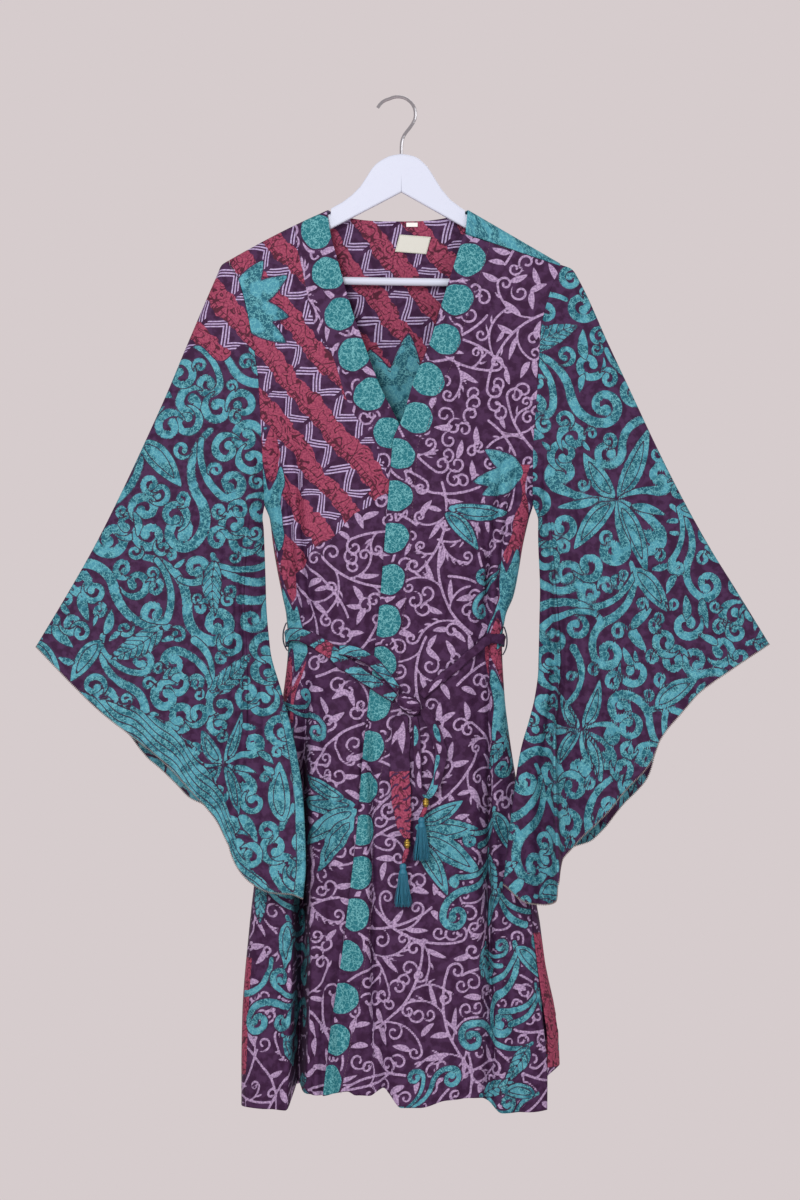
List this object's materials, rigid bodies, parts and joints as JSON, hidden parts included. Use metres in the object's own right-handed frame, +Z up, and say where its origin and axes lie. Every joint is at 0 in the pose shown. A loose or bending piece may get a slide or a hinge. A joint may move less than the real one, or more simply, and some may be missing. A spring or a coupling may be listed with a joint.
{
  "type": "kimono robe on a hanger",
  "caption": "Knee-length wrap robe in the kimono manner, with wide bell sleeves and a tied belt with tasselled ends, hung on a shaped clothes hanger.",
  "frame": {"origin": "the inside top of the hanger's hook, where the rail carries it", "axes": "+Z up, -Y towards the viewer of the robe's front, +X to that viewer's right, which is the wearer's left"},
  "size_m": [0.8792, 0.1393, 1.2159],
  "materials": {
    "plum_print": "plum satin crepe printed with lilac and teal scrolls",
    "plum_back": "plum satin crepe printed with red bands and lilac chevrons",
    "teal_print": "satin crepe printed with bold teal scrolls",
    "belt_cloth": "the robe's own crepe, plum with lilac, teal and red",
    "teal_thread": "twisted rayon thread",
    "label_tape": "cream woven tape, blank",
    "tab_tape": "white woven tape, blank",
    "gilt": "gilt ribbed bead",
    "painted_wood": "white lacquer, satin",
    "chromed_wire": "bright chrome"
  },
  "bodies": {
    "root": {"back": "plum_back", "front_left": "plum_print", "front_right": "plum_print", "sleeve_left": "teal_print", "sleeve_right": "teal_print", "neck_label": "label_tape", "size_tab": "tab_tape", "belt_back": "belt_cloth", "belt_front_left": "belt_cloth", "belt_front_right": "belt_cloth", "belt_twist": "belt_cloth", "belt_knot": "belt_cloth", "belt_bow_loop": "belt_cloth", "belt_end_long": "belt_cloth", "belt_neck_long": "belt_cloth", "belt_neck_short": "belt_cloth", "belt_loop_left": "teal_thread", "belt_loop_right": "teal_thread", "bead_long": "gilt", "bead_short": "gilt", "tassel_long": "teal_thread", "tassel_short": "teal_thread", "hanger_body": "painted_wood", "hanger_bar": "painted_wood", "hanger_hook": "chromed_wire"}
  },
  "joints": []
}
